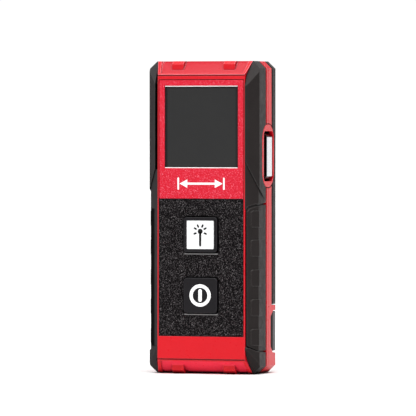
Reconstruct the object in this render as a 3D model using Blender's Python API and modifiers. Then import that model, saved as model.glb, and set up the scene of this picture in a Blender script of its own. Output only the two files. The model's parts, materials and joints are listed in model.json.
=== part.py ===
"""Pocket laser distance meter, standing on its bottom end: an assembly of separate parts.

The origin is the middle of the bottom end. +Z runs up the meter, the display and keys face -Y and the
battery door is on the +Y side. Every length below is in millimetres, and MM turns it into metres.
"""

import math

import bmesh
import bpy
from mathutils import Matrix, Vector

MM = 0.001
GAP = 0.3
INLAY_GAP = 0.15

# Outer form: a tall box with its long edges and its ends cut off at a slant.
HEIGHT = 112.0
HALF_WIDTH = 20.8
FRONT_Y = -12.8
REAR_Y = 13.8
FACE_HALF = 16.65
BROW_X, BROW_Y = 17.75, -11.95
SIDE_FRONT_Y, SIDE_REAR_Y = -9.0, 9.7
REAR_HALF = 16.7
END_CHAMFER = 5.0
CORNER_CHAMFER = 2.6
REAR_END_CHAMFER = 2.5
REAR_CORNER_SLOPE = 0.83
FACET_NORMAL = (0.223, -0.870, 0.440)
FACET_X, FACET_Y = 18.15, -7.8

# The red spine between the front grips: half widths at the ends, the foot and the head of the face.
SPINE_END, SPINE_FOOT, SPINE_HEAD = 17.9, 16.5, 16.35
REAR_SPINE = 16.4
CHAMFER_PANEL_DEPTH, FOOT_RECESS = 0.7, 0.5
PANEL_EDGE, PANEL_REAR_Y = 4.4, -3.6
PANEL_EDGE_HALF, PANEL_END_HALF = 15.6, 16.7
LIP_TALL, LIP_DEEP, LIP_HALF = 0.9, 1.95, 15.9
RIB_X, RIB_WIDTH, RIB_ROOT, RIB_SHOULDER = 9.7, 4.3, 3.6, 1.1
RIB_FRONT_Y, RIB_BEVEL_Y, RIB_REAR_Y = -10.1, -9.0, -4.0
LINE_DEPTH, LINE_ABOVE, LINE_BELOW = 0.45, 0.1, 0.35

# Shell: the wall under the grips and the wall of the bare face.
GRIP_INSET = 1.6
CORE_INSET = GRIP_INSET + GAP
SIDE_WALL = 1.6
FACE_WALL = 1.9
END_WALL = 3.0
PARTING_Y = 1.0
SEAM_FRONT_Y, SEAM_REAR_Y = -0.6, 5.05
REAR_GRIP_FOOT = 24.25

# Lower part of the grips: a shallow waist that carries raised pads inside a groove.
WAIST_DEPTH, WAIST_END_Y = 0.45, -2.2
WAIST_HEAD_POINT, WAIST_HEAD_NORMAL = (18.33, -11.39, 72.1), (1.806, 0.632, 1.0)
PAD_DEPTH = 0.12
PAD_HEIGHT = 5.9
PAD_CENTRES = (13.2, 23.8, 34.4, 45.1, 55.5)
PAD_FRONT_Y, LEFT_PAD_FRONT_Y, PAD_REAR_Y = -11.1, -8.2, -3.2
PAD_CORNER = 0.7
GROOVE_DEPTH = 0.95

# Where the grips' tools start: inside the faces that the grips end up with.
WAIST_TOOL_X, GROOVE_TOOL_X, PAD_TOOL_X, PULL_TOOL_X = 12.0, 10.0, 16.0, 15.0

# Channels beside the red seam, and the left grip's channels at its brow.
SEAM_CHANNEL_FRONT, SEAM_CHANNEL_REAR, SEAM_CHANNEL_DEPTH = 0.9, 1.05, 1.15
CHANNEL_FLOOR = 1.2
BROW_CHANNEL_FOOT, BROW_CHANNEL_HEAD = 5.2, 73.2

# Face: textured bezel above, textured keypad panel below, in one recess.
INLAY_HALF = 15.9
INLAY_FOOT, INLAY_SPLIT, INLAY_HEAD = 13.5, 62.6, 105.3
INLAY_FLOOR_Y = -11.7
INLAY_BACK_Y, INLAY_FRONT_Y = -12.0, -12.75
WINDOW_HALF, WINDOW_FOOT, WINDOW_HEAD = 13.65, 73.8, 103.0
WINDOW_FRONT_Y, WINDOW_BACK_Y = -12.1, -11.85
LEDGE_SIDE, LEDGE_END = 1.3, 1.2
INLAY_SPLIT_GAP = 0.1
OPENING_END_Y = -9.0

# Keys
KEY_OPENING, HOUSING_OPENING, KEY_SIZE, KEY_FLANGE = 13.4, 14.1, 12.5, 15.0
KEY_CORNER = 1.1
KEY_FRONT_Y, KEY_FLANGE_Y, KEY_BACK_Y = -13.8, -10.55, -9.9
KEY_STEM_R, KEY_STEM_END_Y = 1.5, -8.75
MEASURE_Z, POWER_Z = 49.8, 28.1
INSERT_SIZE, INSERT_DEPTH, INSERT_CORNER, INSERT_STEP = 10.2, 0.8, 0.35, 0.1
MEASURE_RIM, POWER_RIM = 0.6, 1.1

# Switches and board
PLUNGER_FRONT_Y, PLUNGER_BACK_Y = -8.1, -7.4
SWITCH_FRONT_Y, SWITCH_BACK_Y, SWITCH_SIZE = -6.9, -5.5, 6.0
SEAL_FRONT_Y, SEAL_BACK_Y = -8.9, -8.35
BOARD_FRONT_Y, BOARD_BACK_Y, BOARD_HALF = -5.2, -4.0, 11.6
BOARD_FOOT, BOARD_HEAD = 8.0, 104.0
POST_X, POST_Z, POST_R, POST_FRONT_Y = 9.3, 13.5, 1.9, -11.2
POST_BORE_R, POST_BORE_Y, BOARD_HOLE_R = 0.85, -9.0, 0.95

# Display
LCD_HALF, LCD_FOOT, LCD_HEAD = 13.2, 73.2, 103.3
LCD_FRONT_Y, LCD_BACK_Y = -10.5, -8.4
LCD_FRAME_FRONT_Y, LCD_FRAME_BACK_Y = -8.1, -5.5

# Battery bay, cells and door
CELL_R, CELL_LENGTH, CELL_X, CELL_Y = 5.25, 44.5, 5.75, 6.0
BAY_HALF, BAY_FOOT, BAY_HEAD, BAY_FLOOR_Y, BAY_WALL = 11.7, 7.9, 57.2, 0.4, 1.2
DOOR_HALF, DOOR_FOOT, DOOR_HEAD, DOOR_THICK = 14.5, 7.7, 59.0, 1.6
DOOR_FOOT_GAP, DOOR_LEDGE_Y = 0.7, 11.5
WING_HEAD, WING_FRONT_Y, NOTCH_Y, NOTCH_FOOT, NOTCH_HEAD = 22.0, 7.2, 4.0, 2.3, 2.1
HINGE_Y, HINGE_Z = 13.0, 58.3
PULL_INSET = 0.8

# Blank label on the back
LABEL_Z, LABEL_WIDE, LABEL_TALL, LABEL_CORNER = 85.0, 22.4, 29.4, 1.7
LABEL_RECESS, LABEL_BED, LABEL_SUNK = 0.4, 0.32, 0.08

# Optics at the head of the meter
LASER_X, RECEIVER_X, OPTICS_Y = -7.3, 4.2, 3.7
LASER_R, RECEIVER_R = 3.5, 5.5
OPTICS_HALF, OPTICS_FOOT, OPTICS_HEAD = 11.6, 82.0, 104.0
APERTURE_HALF, APERTURE_FRONT_Y, APERTURE_REAR_Y = 11.8, -2.9, 10.3
APERTURE_FOOT, APERTURE_TOP = 110.5, 111.6

# Lanyard pocket and bar, on the right side only
RIM_Y, RIM_Z, RIM_DEEP, RIM_TALL, RIM_CORNER = 1.2, 78.05, 13.6, 22.7, 6.0
SLOT_Y, SLOT_Z, SLOT_DEEP, SLOT_TALL, SLOT_CORNER = 1.65, 77.9, 11.1, 18.0, 1.7
POCKET_BACK_X, POCKET_FLOOR_X = 14.5, 15.7
BAR_FRONT_Y, BAR_REAR_Y, BAR_THICK = 0.0, 6.4, 1.4
BAR_FOOT, BAR_HEAD, BAR_SHOULDER, BAR_SLANT = 69.5, 86.0, 1.25, 1.0

# Housing screws, driven in from the rear: the x, z and boss front of each
SCREW_PLACES = ((-14.1, 63.8, -10.6), (14.1, 63.8, -10.6), (-14.1, 106.0, -9.6), (14.1, 106.0, -9.6))
BOSS_R, SCREW_R, SCREW_HEAD_R, COUNTERBORE_R = 2.3, 0.9, 1.7, 2.0
BOSS_SETBACK = 0.4
SCREW_HEAD_Y, SCREW_SEAT_Y, SCREW_TIP_Y = 12.9, 11.6, -5.0

# Planes well outside the meter, where cutting tools end.
FAR = 60.0
AHEAD_Y, BEHIND_Y = -20.0, 20.0
PARTS_NAME = "laser_distance_meter"

MATERIALS = {
    "red_shell": ((0.80, 0.016, 0.024), 0.38, 0.0),
    "red_texture": ((0.82, 0.03, 0.06), 0.6, 0.0),
    "grip_rubber": ((0.028, 0.026, 0.025), 0.62, 0.0),
    "black_texture": ((0.02, 0.018, 0.019), 0.7, 0.0),
    "display_glass": ((0.04, 0.04, 0.04), 0.12, 0.0),
    "white_plastic": ((0.9, 0.9, 0.9), 0.35, 0.0),
    "door_plastic": ((0.11, 0.105, 0.11), 0.45, 0.0),
    "steel": ((0.75, 0.76, 0.78), 0.22, 1.0),
    "lcd_glass": ((0.16, 0.17, 0.15), 0.2, 0.0),
    "black_plastic": ((0.03, 0.03, 0.03), 0.5, 0.0),
    "board_green": ((0.02, 0.16, 0.06), 0.45, 0.0),
    "silicone": ((0.5, 0.5, 0.5), 0.7, 0.0),
    "brass": ((0.75, 0.55, 0.22), 0.3, 1.0),
    "lens_glass": ((0.75, 0.85, 0.9), 0.05, 0.0),
    "cell_sleeve": ((0.10, 0.10, 0.12), 0.35, 0.0),
}


# ---------------------------------------------------------------- basic tools

def clear_scene():
    for old in list(bpy.data.objects):
        bpy.data.objects.remove(old, do_unlink=True)


def material(name):
    colour, roughness, metallic = MATERIALS[name]
    found = bpy.data.materials.get(name)
    if found:
        return found
    made = bpy.data.materials.new(name)
    made.use_nodes = True
    shader = made.node_tree.nodes["Principled BSDF"]
    shader.inputs["Base Color"].default_value = (*colour, 1.0)
    shader.inputs["Roughness"].default_value = roughness
    shader.inputs["Metallic"].default_value = metallic
    made.diffuse_color = (*colour, 1.0)
    return made


def new_object(name, mesh):
    made = bpy.data.objects.new(name, mesh)
    bpy.context.scene.collection.objects.link(made)
    return made


def from_bmesh(name, bm):
    bmesh.ops.recalc_face_normals(bm, faces=bm.faces[:])
    bmesh.ops.scale(bm, verts=bm.verts[:], vec=(MM, MM, MM))
    mesh = bpy.data.meshes.new(name)
    bm.to_mesh(mesh)
    bm.free()
    return new_object(name, mesh)


def baked(source):
    """The object with its modifiers, or its curve, turned into a plain mesh."""
    graph = bpy.context.evaluated_depsgraph_get()
    mesh = bpy.data.meshes.new_from_object(source.evaluated_get(graph))
    bm = bmesh.new()
    bm.from_mesh(mesh)
    bmesh.ops.remove_doubles(bm, verts=bm.verts[:], dist=0.001 * MM)
    bm.to_mesh(mesh)
    bm.free()
    made = new_object(source.name, mesh)
    made.matrix_world = source.matrix_world.copy()
    name = source.name
    bpy.data.objects.remove(source, do_unlink=True)
    made.name = name
    return made


def join_by(operation, target, tool):
    """The target after a Boolean with the tool, as a plain mesh."""
    name = target.name
    step = target.modifiers.new(operation.title(), "BOOLEAN")
    step.operation = operation
    step.solver = "EXACT"
    step.object = tool
    made = baked(target)
    made.name = name
    bpy.data.objects.remove(tool, do_unlink=True)
    return made


def cut(target, tool):
    return join_by("DIFFERENCE", target, tool)


def add(target, tool):
    return join_by("UNION", target, tool)


def overlap(target, tool):
    return join_by("INTERSECT", target, tool)


def mirrored(source, name):
    """A copy of the object on the other side of the middle plane."""
    mesh = source.data.copy()
    mesh.transform(Matrix.Scale(-1, 4, (1, 0, 0)))
    mesh.flip_normals()
    return new_object(name, mesh)


def finish(source, name, surface, origin=(0.0, 0.0, 0.0)):
    """Names the part, gives it its material, puts its origin in place and files it with the parts."""
    source.name = name
    source.data.name = name
    place = Vector(origin) * MM
    source.data.transform(Matrix.Translation(-place))
    source.location = place
    source.data.materials.clear()
    source.data.materials.append(material(surface))
    source.data.shade_smooth()
    source.data.set_sharp_from_angle(angle=math.radians(35))
    bpy.context.scene.collection.objects.unlink(source)
    parts_collection().objects.link(source)
    return source


def parts_collection():
    found = bpy.data.collections.get(PARTS_NAME)
    if found:
        return found
    made = bpy.data.collections.new(PARTS_NAME)
    bpy.context.scene.collection.children.link(made)
    return made


# ---------------------------------------------------------------- basic shapes

def block(name, low, high):
    bm = bmesh.new()
    bmesh.ops.create_cube(bm, size=1.0)
    low, high = Vector(low), Vector(high)
    bmesh.ops.scale(bm, verts=bm.verts[:], vec=high - low)
    bmesh.ops.translate(bm, verts=bm.verts[:], vec=(low + high) / 2)
    return from_bmesh(name, bm)


def rod(name, centre, radius, low, high, axis="Z", sides=24):
    """A cylinder along an axis: centre is its place on the other two axes."""
    bm = bmesh.new()
    bmesh.ops.create_cone(bm, cap_ends=True, segments=sides, radius1=radius, radius2=radius, depth=high - low)
    middle = (low + high) / 2
    if axis == "Z":
        place = Matrix.Translation((centre[0], centre[1], middle))
    elif axis == "Y":
        place = Matrix.Translation((centre[0], middle, centre[1])) @ Matrix.Rotation(math.pi / 2, 4, "X")
    else:
        place = Matrix.Translation((middle, centre[0], centre[1])) @ Matrix.Rotation(math.pi / 2, 4, "Y")
    bmesh.ops.transform(bm, matrix=place, verts=bm.verts[:])
    return from_bmesh(name, bm)


def turned(name, profile, centre, sides=32):
    """A shape turned about an upright axis, from an outer profile of (radius, z) that runs downwards."""
    bm = bmesh.new()
    points = [bm.verts.new((radius * MM, 0.0, z * MM)) for radius, z in profile]
    for first, second in zip(points, points[1:]):
        bm.edges.new((first, second))
    mesh = bpy.data.meshes.new(name)
    bm.to_mesh(mesh)
    bm.free()
    made = new_object(name, mesh)
    made.location = (centre[0] * MM, centre[1] * MM, 0.0)
    screw = made.modifiers.new("Turn", "SCREW")
    screw.steps = sides
    screw.render_steps = sides
    screw.use_merge_vertices = True
    screw.merge_threshold = 0.00001
    made = baked(made)
    made.data.transform(made.matrix_world)
    made.matrix_world = Matrix.Identity(4)
    return made


def prism(name, outline, axis, low, high):
    """A flat outline extruded along an axis. The outline is (x, y) for Z, (x, z) for Y and (y, z) for X."""
    curve = bpy.data.curves.new(name, "CURVE")
    curve.dimensions = "2D"
    curve.fill_mode = "BOTH"
    curve.extrude = (high - low) / 2 * MM
    spline = curve.splines.new("POLY")
    spline.points.add(len(outline) - 1)
    for point, (u, v) in zip(spline.points, outline):
        point.co = (u * MM, v * MM, 0.0, 1.0)
    spline.use_cyclic_u = True
    made = baked(new_object(name, curve))
    columns = {
        "Z": ((1, 0, 0), (0, 1, 0), (0, 0, 1)),
        "Y": ((1, 0, 0), (0, 0, -1), (0, 1, 0)),
        "X": ((0, 0, 1), (1, 0, 0), (0, 1, 0)),
    }[axis]
    turn = Matrix(columns).to_4x4()
    middle = {"X": (1, 0, 0), "Y": (0, 1, 0), "Z": (0, 0, 1)}[axis]
    shift = Matrix.Translation(Vector(middle) * (low + high) / 2 * MM)
    made.data.transform(shift @ turn)
    return made


def rounded_outline(centre, wide, tall, radius, steps=4):
    """A rectangle with round corners, as a list of points."""
    points = []
    for quarter, (sx, sy) in enumerate(((1, 1), (-1, 1), (-1, -1), (1, -1))):
        corner = (centre[0] + sx * (wide / 2 - radius), centre[1] + sy * (tall / 2 - radius))
        for step in range(steps + 1):
            angle = (quarter + step / steps) * math.pi / 2
            points.append((corner[0] + radius * math.cos(angle), corner[1] + radius * math.sin(angle)))
    return points


# ---------------------------------------------------------------- the outer form

def outer_planes(side=0.0, face=0.0, end=0.0, facets=True):
    """The outer form's planes, as (point, outward normal, inset)."""
    planes = [
        ((0, FRONT_Y, 0), (0, -1, 0), face),
        ((0, REAR_Y, 0), (0, 1, 0), face),
    ]
    for way in (1, -1):
        end_z = HEIGHT if way > 0 else 0.0
        planes.append(((0, 0, end_z), (0, 0, way), end))
        planes.append(((0, FRONT_Y, end_z - way * END_CHAMFER), (0, -1, way), face))
        planes.append(((0, REAR_Y, end_z - way * REAR_END_CHAMFER), (0, 1, way), face))
    brow = (FRONT_Y - BROW_Y, FACE_HALF - BROW_X)
    cheek = (BROW_Y - SIDE_FRONT_Y, BROW_X - HALF_WIDTH)
    rear = (REAR_Y - SIDE_REAR_Y, HALF_WIDTH - REAR_HALF)
    for way in (1, -1):
        planes.append(((way * HALF_WIDTH, 0, 0), (way, 0, 0), side))
        planes.append(((way * FACE_HALF, FRONT_Y, 0), (-way * brow[0], brow[1], 0), side))
        planes.append(((way * BROW_X, BROW_Y, 0), (-way * cheek[0], cheek[1], 0), side))
        planes.append(((way * HALF_WIDTH, SIDE_REAR_Y, 0), (way * rear[0], rear[1], 0), side))
        for up in (1, -1):
            end_z = HEIGHT if up > 0 else 0.0
            corner = (way * HALF_WIDTH, 0, end_z - up * CORNER_CHAMFER)
            planes.append((corner, (way, 0, up), side))
            corner = (way * HALF_WIDTH, SIDE_REAR_Y, end_z - up * CORNER_CHAMFER)
            slope = REAR_CORNER_SLOPE * math.hypot(*rear)
            planes.append((corner, (way * rear[0], rear[1], up * slope), side))
            if facets:
                normal = (way * FACET_NORMAL[0], FACET_NORMAL[1], up * FACET_NORMAL[2])
                planes.append(((way * FACET_X, FACET_Y, end_z), normal, side))
    return planes


def form(name, side=0.0, face=0.0, end=0.0, facets=True):
    """A solid of the outer form, with its sides, faces and ends moved in."""
    bm = bmesh.new()
    bmesh.ops.create_cube(bm, size=2 * FAR)
    bmesh.ops.translate(bm, verts=bm.verts[:], vec=(0, 0, HEIGHT / 2))
    for point, normal, inset in outer_planes(side, face, end, facets):
        normal = Vector(normal).normalized()
        place = Vector(point) - normal * inset
        pieces = bm.verts[:] + bm.edges[:] + bm.faces[:]
        result = bmesh.ops.bisect_plane(
            bm, geom=pieces, dist=0.0001, plane_co=place, plane_no=normal, clear_outer=True)
        rim = [item for item in result["geom_cut"] if isinstance(item, bmesh.types.BMEdge)]
        if rim:
            bmesh.ops.edgeloop_fill(bm, edges=rim)
    return from_bmesh(name, bm)


def spine_outline(spread=0.0):
    """The red spine's front view."""
    right = [
        (SPINE_END + spread, -1.0),
        (SPINE_END + spread, 0.0),
        (SPINE_FOOT + spread, END_CHAMFER),
        (SPINE_HEAD + spread, HEIGHT - END_CHAMFER),
        (SPINE_END + spread, HEIGHT),
        (SPINE_END + spread, HEIGHT + 1.0),
    ]
    return right + [(-x, z) for x, z in reversed(right)]


def end_chamfer_details(shell):
    """Sinks the panel of each end chamfer, stands two ribs on it and scores a line beside it."""
    for up in (1, -1):
        def level(height):
            return HEIGHT - height if up > 0 else height
        foot = FOOT_RECESS if up < 0 else 0.0
        half = [(PANEL_EDGE_HALF, level(PANEL_EDGE)), (PANEL_END_HALF, level(-1.0))]
        outline = half + [(-x, z) for x, z in reversed(half)]
        sink = prism("sink", outline, "Y", AHEAD_Y, PANEL_REAR_Y)
        sink = cut(sink, form("sunk_form", face=CHAMFER_PANEL_DEPTH, end=foot, facets=False))
        shell = cut(shell, sink)
        if up > 0:
            lip_y = FRONT_Y + END_CHAMFER + CHAMFER_PANEL_DEPTH * math.sqrt(2) - LIP_TALL
            profile = [
                (AHEAD_Y, level(LIP_TALL)), (lip_y, level(LIP_TALL)), (lip_y + LIP_DEEP, level(0.0)),
                (lip_y + LIP_DEEP, level(-1.0)), (AHEAD_Y, level(-1.0)),
            ]
            shell = cut(shell, prism("lip", profile, "X", -LIP_HALF, LIP_HALF))
        for way in (1, -1):
            profile = [
                (RIB_FRONT_Y, level(RIB_ROOT)), (RIB_FRONT_Y, level(RIB_SHOULDER)), (RIB_BEVEL_Y, level(0.0)),
                (RIB_REAR_Y, level(0.0)), (RIB_REAR_Y, level(RIB_ROOT)),
            ]
            low = way * RIB_X - RIB_WIDTH / 2
            shell = add(shell, prism("rib", profile, "X", low, low + RIB_WIDTH))
        near, far = sorted((level(END_CHAMFER - LINE_ABOVE), level(END_CHAMFER + LINE_BELOW)))
        shell = cut(shell, block("line", (-FAR, AHEAD_Y, near), (FAR, FRONT_Y + LINE_DEPTH, far)))
    return shell


def core():
    """The shells' form under the grips and the battery door."""
    return form("core", side=CORE_INSET, face=CORE_INSET, end=CORE_INSET)


def rim_tool(spread=0.0):
    """The pill-shaped outline of the lanyard pocket, through the right side."""
    deep, tall = RIM_DEEP + 2 * spread, RIM_TALL + 2 * spread
    outline = rounded_outline((RIM_Y, RIM_Z), deep, tall, RIM_CORNER + spread, steps=6)
    return prism("rim_tool", outline, "X", POCKET_BACK_X - 1.0, FAR / 2)


def aperture_tool():
    low = (-APERTURE_HALF - GAP, APERTURE_FRONT_Y - GAP, HEIGHT - END_WALL - 0.5)
    high = (APERTURE_HALF + GAP, APERTURE_REAR_Y + GAP, HEIGHT + 1.0)
    return block("aperture_tool", low, high)


# ---------------------------------------------------------------- shells

def front_housing():
    front = block("front_half", (-FAR, -FAR, -1.0), (FAR, PARTING_Y - GAP / 2, FAR * 2))
    shell = overlap(form("front_housing", facets=False), front)
    space = block("grip_space", (-FAR, -FAR, -2.0), (FAR, SEAM_FRONT_Y, FAR * 2))
    space = cut(space, prism("spine", spine_outline(), "Y", -FAR * 2, FAR))
    shell = cut(shell, cut(space, core()))
    shell = end_chamfer_details(shell)
    shell = cut(shell, form(
        "cavity", side=CORE_INSET + SIDE_WALL, face=FACE_WALL, end=END_WALL, facets=False))
    shell = cut(shell, block(
        "inlay_recess",
        (-INLAY_HALF - INLAY_GAP, AHEAD_Y, INLAY_FOOT - INLAY_GAP),
        (INLAY_HALF + INLAY_GAP, INLAY_FLOOR_Y, INLAY_HEAD + INLAY_GAP)))
    shell = cut(shell, block(
        "display_opening",
        (-WINDOW_HALF + LEDGE_SIDE, AHEAD_Y, WINDOW_FOOT + LEDGE_END),
        (WINDOW_HALF - LEDGE_SIDE, OPENING_END_Y, WINDOW_HEAD - LEDGE_END)))
    for z in (MEASURE_Z, POWER_Z):
        shell = cut(shell, key_outline_prism(z, HOUSING_OPENING, KEY_CORNER + 0.7, AHEAD_Y, OPENING_END_Y))
    for x, z, boss_front in SCREW_PLACES:
        shell = add(shell, rod("boss", (x, z), BOSS_R, boss_front, PARTING_Y - BOSS_SETBACK, "Y", 16))
        shell = cut(shell, rod("pilot", (x, z), SCREW_R + 0.2, SCREW_TIP_Y - 1.0, PARTING_Y + 2.0, "Y", 16))
    for way in (1, -1):
        place = (way * POST_X, POST_Z)
        shell = add(shell, rod("post", place, POST_R, POST_FRONT_Y, BOARD_FRONT_Y - GAP, "Y", 16))
        shell = cut(shell, rod("post_bore", place, POST_BORE_R, POST_BORE_Y, 0.0, "Y", 12))
    shell = cut(shell, rim_tool(GAP))
    shell = cut(shell, aperture_tool())
    finish(shell, "front_housing", "red_shell")


def door_pocket():
    """The space that the battery door's wings and finger pulls take from the rear shell."""
    foot, head = DOOR_FOOT - DOOR_FOOT_GAP, WING_HEAD + GAP
    side_view = [
        (FAR, foot), (WING_FRONT_Y - GAP, foot), (NOTCH_Y, foot + NOTCH_FOOT), (NOTCH_Y, head - NOTCH_HEAD),
        (WING_FRONT_Y - GAP, head), (FAR, head),
    ]
    return cut(prism("wing_space", side_view, "X", -FAR, FAR), core())


def rear_housing():
    rear = block("rear_half", (-FAR, PARTING_Y + GAP / 2, -1.0), (FAR, FAR, FAR * 2))
    shell = overlap(form("rear_housing", facets=False), rear)
    for way in (1, -1):
        near, far = sorted((way * REAR_SPINE, way * FAR))
        space = block("grip_space", (near, SEAM_REAR_Y, REAR_GRIP_FOOT), (far, FAR, FAR * 2))
        shell = cut(shell, cut(space, core()))
    shell = cut(shell, form(
        "cavity", side=CORE_INSET + SIDE_WALL, face=CORE_INSET + SIDE_WALL, end=END_WALL, facets=False))
    shell = add(shell, block(
        "bay",
        (-BAY_HALF - BAY_WALL, BAY_FLOOR_Y - BAY_WALL, BAY_FOOT - BAY_WALL),
        (BAY_HALF + BAY_WALL, REAR_Y - 2.5, BAY_HEAD + BAY_WALL)))
    shell = cut(shell, door_pocket())
    shell = cut(shell, block(
        "panel_space",
        (-DOOR_HALF - GAP, DOOR_LEDGE_Y, DOOR_FOOT - DOOR_FOOT_GAP + 0.05),
        (DOOR_HALF + GAP, FAR, DOOR_HEAD + 0.6)))
    shell = cut(shell, block("bay_space", (-BAY_HALF, BAY_FLOOR_Y, BAY_FOOT), (BAY_HALF, BEHIND_Y, BAY_HEAD)))
    for x, z, _ in SCREW_PLACES:
        shell = add(shell, rod("boss", (x, z), BOSS_R, PARTING_Y + BOSS_SETBACK, REAR_Y - 1.0, "Y", 16))
        shell = cut(shell, rod("clearance", (x, z), SCREW_R + GAP, PARTING_Y - 2.0, BEHIND_Y, "Y", 16))
        shell = cut(shell, rod("counterbore", (x, z), COUNTERBORE_R, SCREW_SEAT_Y - GAP, BEHIND_Y, "Y", 20))
    shell = cut(shell, label_prism("label_recess", GAP, REAR_Y - LABEL_RECESS, REAR_Y + 2.0))
    shell = cut(shell, rim_tool(GAP))
    shell = cut(shell, aperture_tool())
    finish(shell, "rear_housing", "red_shell")


def label_prism(name, spread, low, high):
    """The label's outline, made larger by spread all round."""
    wide, tall = LABEL_WIDE + 2 * spread, LABEL_TALL + 2 * spread
    return prism(name, rounded_outline((0.0, LABEL_Z), wide, tall, LABEL_CORNER + spread), "Y", low, high)


def rear_label():
    label = label_prism("rear_label", 0.0, REAR_Y - LABEL_BED, REAR_Y - LABEL_SUNK)
    finish(label, "rear_label", "black_plastic")


# ---------------------------------------------------------------- grips

def half_space(name, point, normal, low, high):
    """A block from low to high, cut to the inner side of a plane."""
    bm = bmesh.new()
    bmesh.ops.create_cube(bm, size=1.0)
    size = [upper - lower for lower, upper in zip(low, high)]
    middle = [(upper + lower) / 2 for lower, upper in zip(low, high)]
    bmesh.ops.scale(bm, verts=bm.verts[:], vec=size)
    bmesh.ops.translate(bm, verts=bm.verts[:], vec=middle)
    pieces = bm.verts[:] + bm.edges[:] + bm.faces[:]
    result = bmesh.ops.bisect_plane(
        bm, geom=pieces, dist=0.0001, plane_co=point, plane_no=Vector(normal).normalized(), clear_outer=True)
    rim = [item for item in result["geom_cut"] if isinstance(item, bmesh.types.BMEdge)]
    bmesh.ops.edgeloop_fill(bm, edges=rim)
    return from_bmesh(name, bm)


def waist_form():
    """What stays at the waist: behind a side that leans in towards the front, and behind a sunk cheek."""
    low, high = (-FAR, -FAR, -1.0), (FAR, FAR, HEIGHT + 1.0)
    lean = (WAIST_END_Y - SIDE_FRONT_Y, -WAIST_DEPTH, 0.0)
    side = half_space("waist_side", (HALF_WIDTH, WAIST_END_Y - 0.3, 0.0), lean, low, high)
    cheek = Vector((SIDE_FRONT_Y - BROW_Y, BROW_X - HALF_WIDTH, 0.0)).normalized()
    sunk = Vector((BROW_X, BROW_Y, 0.0)) - cheek * WAIST_DEPTH
    return overlap(side, half_space("waist_cheek", sunk, cheek, low, high))


def waist_tool():
    """What the waist takes off a grip: the slab outside the waist's form, below a slanted head."""
    side_view = [
        (AHEAD_Y, 9.4), (-11.7, 9.4), (SIDE_FRONT_Y, 8.2), (WAIST_END_Y, 7.6),
        (WAIST_END_Y, 90.0), (AHEAD_Y, 90.0),
    ]
    slab = prism("waist", side_view, "X", WAIST_TOOL_X, FAR / 2)
    head = half_space(
        "head", WAIST_HEAD_POINT, WAIST_HEAD_NORMAL, (-2.0, -FAR, -1.0), (FAR, FAR, HEIGHT + 1.0))
    return cut(overlap(slab, head), waist_form())


def groove_tool():
    """A narrow channel round the pads: down the front brow and over the top and foot of the panel."""
    inner = [(-11.95, 10.3), (-11.95, 58.0), (-11.2, 59.2), (-9.6, 60.0), (-6.6, 60.4), (3.0, 60.6)]
    outer = [(3.0, 61.3), (-6.7, 61.1), (-9.8, 60.8), (-11.6, 60.1), (-12.5, 58.7), (-12.5, 10.0)]
    foot = [(-11.5, 9.2), (-9.0, 7.85), (3.0, 7.5), (3.0, 8.1), (-8.9, 8.45), (-11.3, 9.75)]
    band = prism("groove", inner + outer + foot, "X", GROOVE_TOOL_X, FAR / 2)
    return cut(band, form("groove_form", side=GROOVE_DEPTH, face=GROOVE_DEPTH, end=0.0))


def brow_channels():
    """The left grip's two channels down its brow, drawn on the right."""
    made = []
    for low, high in ((-2.0, BROW_CHANNEL_FOOT), (BROW_CHANNEL_HEAD, HEIGHT + 2.0)):
        channel = block("brow_channel", (WAIST_TOOL_X, -FAR, low), (BROW_X - 0.05, BROW_Y + 6.0, high))
        made.append(cut(channel, form("channel_form", side=CHANNEL_FLOOR, face=CHANNEL_FLOOR, end=-3.0)))
    return made


def seam_channel(near, far):
    """A channel in a grip's edge beside the red seam."""
    band = block("seam_channel", (-1.0, near, -2.0), (FAR, far, HEIGHT + 2.0))
    return cut(band, form("channel_form", side=SEAM_CHANNEL_DEPTH, end=SEAM_CHANNEL_DEPTH, facets=False))


def pads(front_y):
    """The raised pads of one grip, wrapped round its front edge."""
    made = []
    for z in PAD_CENTRES:
        middle = (front_y + PAD_REAR_Y) / 2
        outline = rounded_outline((middle, z), PAD_REAR_Y - front_y, PAD_HEIGHT, PAD_CORNER, steps=2)
        pad = prism("pad", outline, "X", PAD_TOOL_X, FAR / 2)
        made.append(overlap(pad, form("pad_form", side=PAD_DEPTH, face=PAD_DEPTH)))
    return made


def front_grip(left):
    """One front grip, drawn on the right side."""
    edge = SEAM_FRONT_Y - GAP
    grip = overlap(form("grip"), block("grip_half", (0.0, -FAR, -1.0), (FAR, edge, HEIGHT + 1.0)))
    grip = cut(grip, waist_tool())
    grip = cut(grip, seam_channel(edge - SEAM_CHANNEL_FRONT, edge + 1.0))
    if not left:
        grip = cut(grip, groove_tool())
    for pad in pads(LEFT_PAD_FRONT_Y if left else PAD_FRONT_Y):
        grip = add(grip, pad)
    if left:
        for channel in brow_channels():
            grip = cut(grip, channel)
    grip = cut(grip, form("under", side=GRIP_INSET, face=GRIP_INSET, end=GRIP_INSET))
    return cut(grip, prism("spine_space", spine_outline(INLAY_GAP), "Y", AHEAD_Y, 5.0))


def rear_grip(left):
    """One rear grip, drawn on the right side."""
    edge = SEAM_REAR_Y + GAP
    low = (REAR_SPINE + INLAY_GAP, edge, REAR_GRIP_FOOT + GAP)
    grip = overlap(form("grip", facets=False), block("grip_half", low, (FAR, FAR, HEIGHT + 1.0)))
    grip = cut(grip, seam_channel(edge - 1.0, edge + SEAM_CHANNEL_REAR))
    return cut(grip, form("under", side=GRIP_INSET, face=GRIP_INSET, end=GRIP_INSET, facets=False))


def grips():
    for make, name in ((front_grip, "front_grip"), (rear_grip, "rear_grip")):
        right = cut(make(False), rim_tool(GAP))
        finish(right, name + "_right", "grip_rubber")
        drawn = make(True)
        finish(mirrored(drawn, name + "_left"), name + "_left", "grip_rubber")
        bpy.data.objects.remove(drawn, do_unlink=True)


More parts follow.
